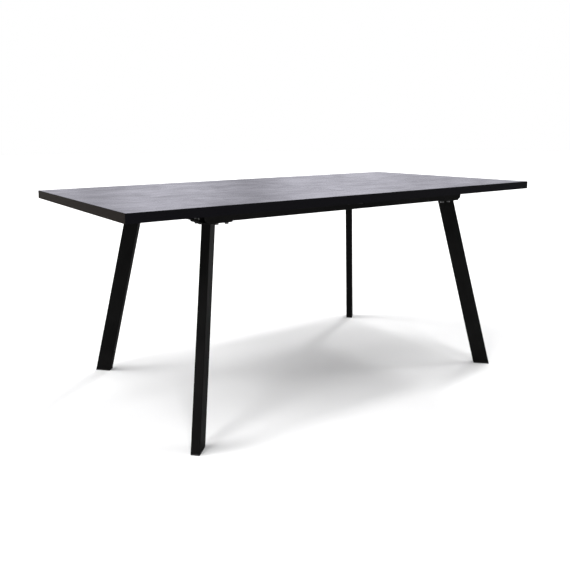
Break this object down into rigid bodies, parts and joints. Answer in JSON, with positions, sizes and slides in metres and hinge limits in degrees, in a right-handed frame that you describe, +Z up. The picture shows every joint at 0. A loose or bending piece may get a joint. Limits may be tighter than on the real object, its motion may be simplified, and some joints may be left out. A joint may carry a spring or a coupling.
{
  "type": "extendable dining table",
  "caption": "Rectangular dining table on splayed steel legs, whose split top slides open on rails for a spare leaf stored under it.",
  "frame": {"origin": "on the floor under the middle of the top", "axes": "+X along the table's length towards its right end, +Y towards its rear long side, +Z up"},
  "size_m": [1.8, 0.9, 0.76],
  "materials": {
    "slate_laminate": "satin laminate with a concrete print",
    "edge_band": "satin moulded edge band",
    "chipboard_core": "chipboard faced below with dark melamine",
    "black_powder_coat": "fine-textured black powder coat",
    "black_plastic": "moulded, matt",
    "zinc_steel": "zinc plated",
    "bolt_steel": "black zinc plated",
    "lock_steel": "black lacquered steel",
    "nylon": "natural nylon",
    "felt": "pressed felt",
    "beech": "fluted beech"
  },
  "bodies": {
    "underframe": {"front_left_foot": "black_plastic", "front_left_leg": "black_powder_coat", "front_left_leg_plate": "black_powder_coat", "front_pinion_bracket": "black_powder_coat", "front_rail": "black_powder_coat", "front_right_foot": "black_plastic", "front_right_leg": "black_powder_coat", "front_right_leg_plate": "black_powder_coat", "leaf_felt_pads": "felt", "left_cross_tie": "black_powder_coat", "left_leaf_bearer": "black_powder_coat", "leg_bolt_nuts": "bolt_steel", "leg_bolt_washers": "bolt_steel", "leg_bolts": "bolt_steel", "pinion_axles": "zinc_steel", "pinion_clips": "zinc_steel", "rear_left_foot": "black_plastic", "rear_left_leg": "black_powder_coat", "rear_left_leg_plate": "black_powder_coat", "rear_pinion_bracket": "black_powder_coat", "rear_rail": "black_powder_coat", "rear_right_foot": "black_plastic", "rear_right_leg": "black_powder_coat", "rear_right_leg_plate": "black_powder_coat", "right_cross_tie": "black_powder_coat", "right_leaf_bearer": "black_powder_coat", "slide_stop_rivets": "zinc_steel"},
    "front_lock": {"front_lock_lever": "lock_steel"},
    "front_gear": {"front_pinion": "nylon"},
    "leaf": {"leaf_bands": "edge_band", "leaf_dowels": "beech", "leaf_laminate": "slate_laminate", "leaf_panel": "chipboard_core"},
    "left_half": {"left_cross_bands": "edge_band", "left_front_rack": "zinc_steel", "left_front_runner": "black_powder_coat", "left_glides": "nylon", "left_laminate": "slate_laminate", "left_panel": "chipboard_core", "left_rear_rack": "zinc_steel", "left_rear_runner": "black_powder_coat", "left_screws": "zinc_steel", "left_side_bands": "edge_band", "lock_pivots": "zinc_steel", "lock_plates": "lock_steel", "seam_dowels": "beech"},
    "right_half": {"lock_keepers": "lock_steel", "right_cross_bands": "edge_band", "right_front_rack": "zinc_steel", "right_front_runner": "black_powder_coat", "right_glides": "nylon", "right_laminate": "slate_laminate", "right_panel": "chipboard_core", "right_rear_rack": "zinc_steel", "right_rear_runner": "black_powder_coat", "right_screws": "zinc_steel", "right_side_bands": "edge_band"},
    "rear_lock": {"rear_lock_lever": "lock_steel"},
    "rear_gear": {"rear_pinion": "nylon"}
  },
  "joints": [
    {"name": "left_half_slide", "type": "slide", "parent": "underframe", "child": "left_half", "axis": [-1, 0, 0], "range_m": [0, 0.25]},
    {"name": "right_half_slide", "type": "slide", "parent": "underframe", "child": "right_half", "axis": [1, 0, 0], "range_m": [0, 0.25]},
    {"name": "front_gear_spin", "type": "hinge", "parent": "underframe", "child": "front_gear", "pos_m": [0, -0.283, 0.7235], "axis": [0, 0, -1], "range_deg": [0, 1194.7]},
    {"name": "rear_gear_spin", "type": "hinge", "parent": "underframe", "child": "rear_gear", "pos_m": [0, 0.283, 0.7235], "axis": [0, 0, 1], "range_deg": [0, 1194.7]},
    {"name": "leaf_slide", "type": "slide", "parent": "underframe", "child": "leaf", "axis": [1, 0, 0], "range_m": [0, 0.7]},
    {"name": "front_lock_turn", "type": "hinge", "parent": "left_half", "child": "front_lock", "pos_m": [-0.022, -0.375, 0.726], "axis": [0, 0, 1], "range_deg": [0, 90]},
    {"name": "rear_lock_turn", "type": "hinge", "parent": "left_half", "child": "rear_lock", "pos_m": [-0.022, 0.375, 0.726], "axis": [0, 0, -1], "range_deg": [0, 90]}
  ],
  "couplings": [
    {"joint": "right_half_slide", "follows": "left_half_slide", "ratio": 1},
    {"joint": "front_gear_spin", "follows": "left_half_slide", "rad_per_m": 83.333},
    {"joint": "rear_gear_spin", "follows": "left_half_slide", "rad_per_m": 83.333}
  ]
}
